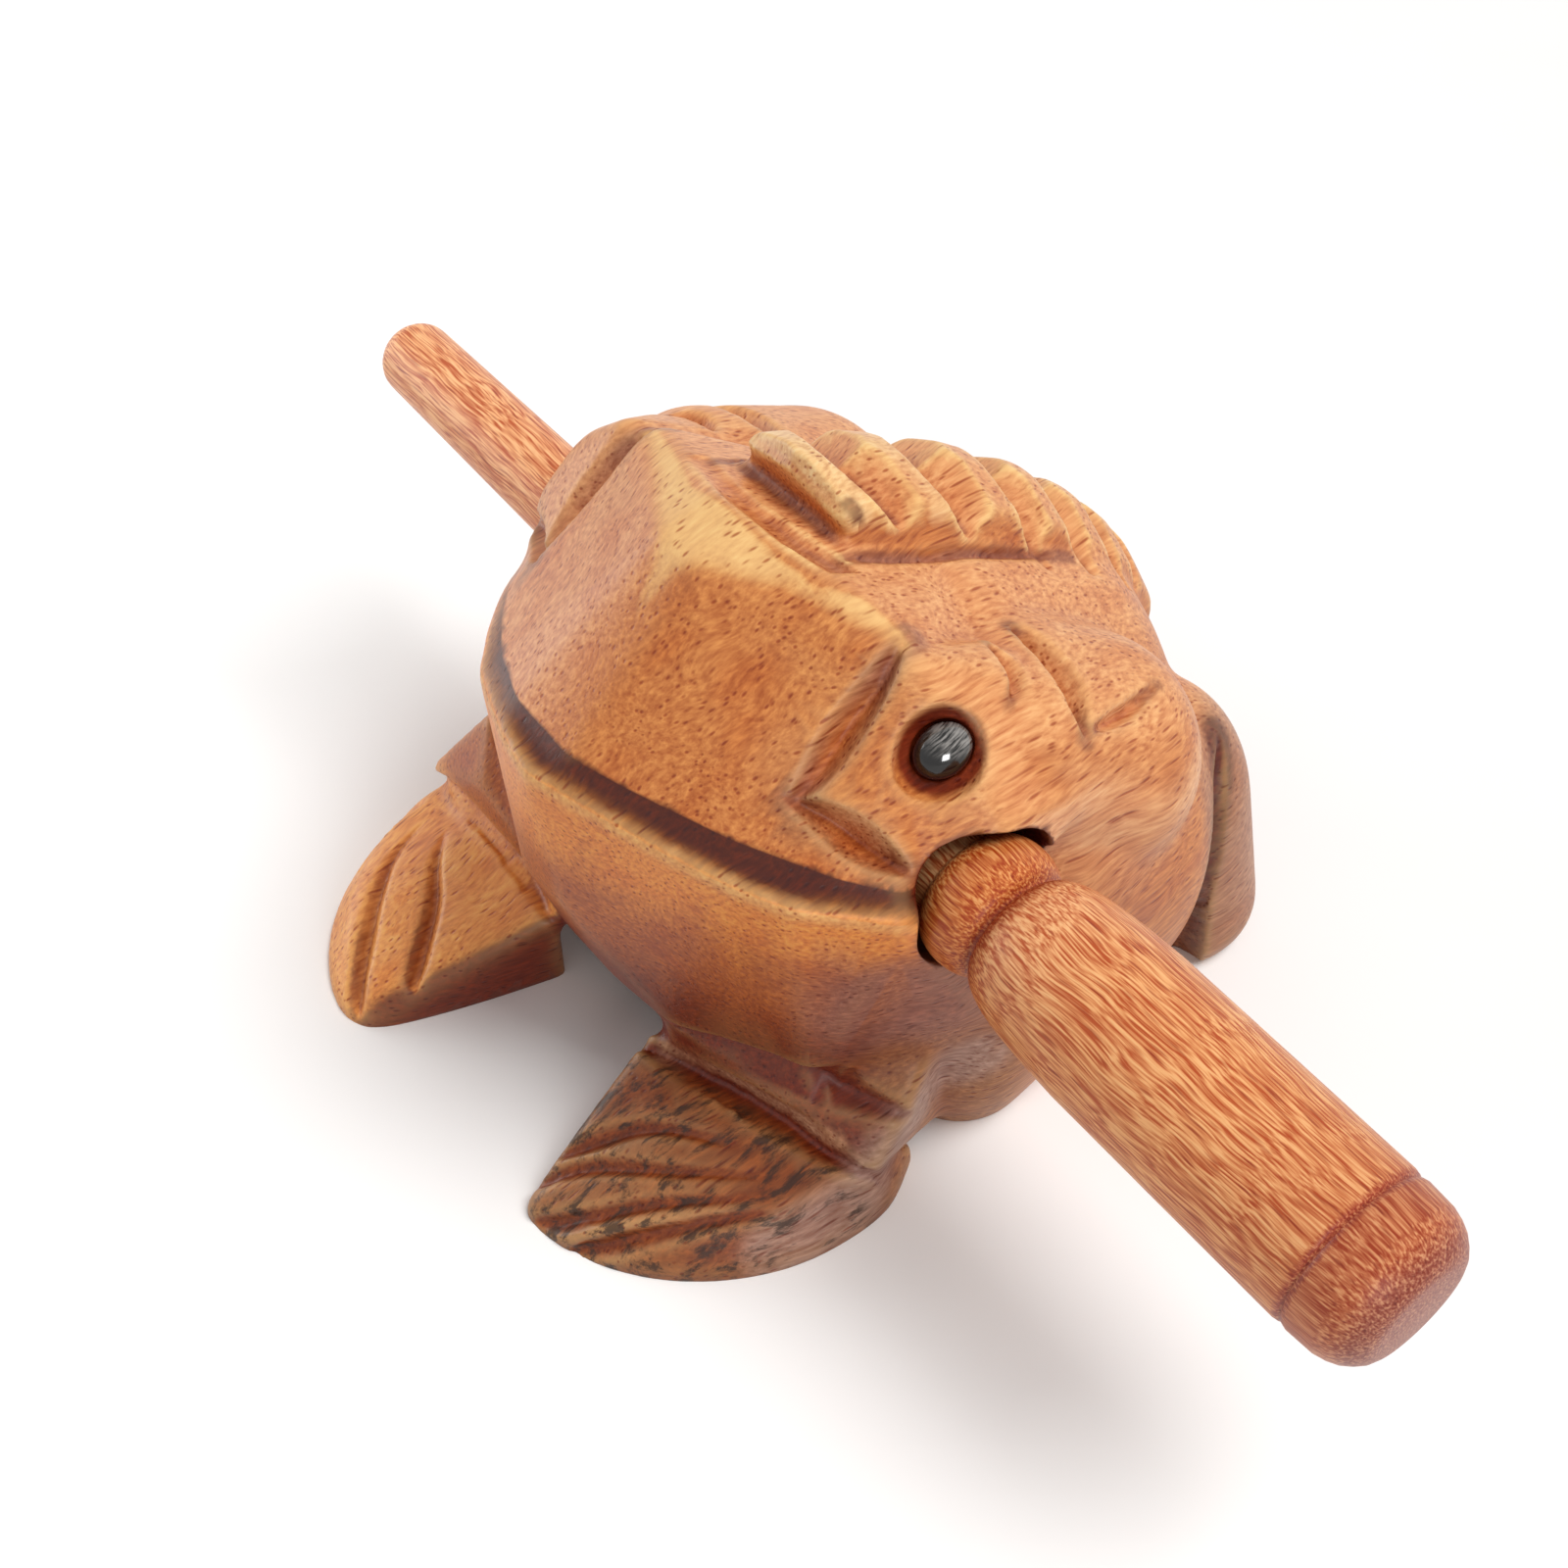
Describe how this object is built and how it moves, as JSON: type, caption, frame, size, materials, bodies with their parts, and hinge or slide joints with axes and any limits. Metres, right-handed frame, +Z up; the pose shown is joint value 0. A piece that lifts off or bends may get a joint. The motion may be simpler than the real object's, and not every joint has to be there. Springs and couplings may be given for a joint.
{
  "type": "frog guiro",
  "caption": "Hand-carved hollow wooden frog rasp with a toothed spine, a mouth slot and bead eyes; its turned wooden striker lies in a bore through the body.",
  "frame": {"origin": "on the table, at the middle of the flat under the rump that the frog rests on", "axes": "+X towards the frog's left, where the striker's handle points; -Y towards the frog's front (its mouth); +Z up"},
  "size_m": [0.1403, 0.086, 0.062],
  "materials": {
    "carved_hardwood": "hand-carved orange-brown hardwood under a thin satin varnish",
    "turned_hardwood": "turned reddish hardwood with dark pores, thin satin varnish",
    "black_bead": "glossy black bead"
  },
  "bodies": {
    "root": {"frog_body": "carved_hardwood", "striker": "turned_hardwood", "left_eye": "black_bead", "right_eye": "black_bead"}
  },
  "joints": []
}
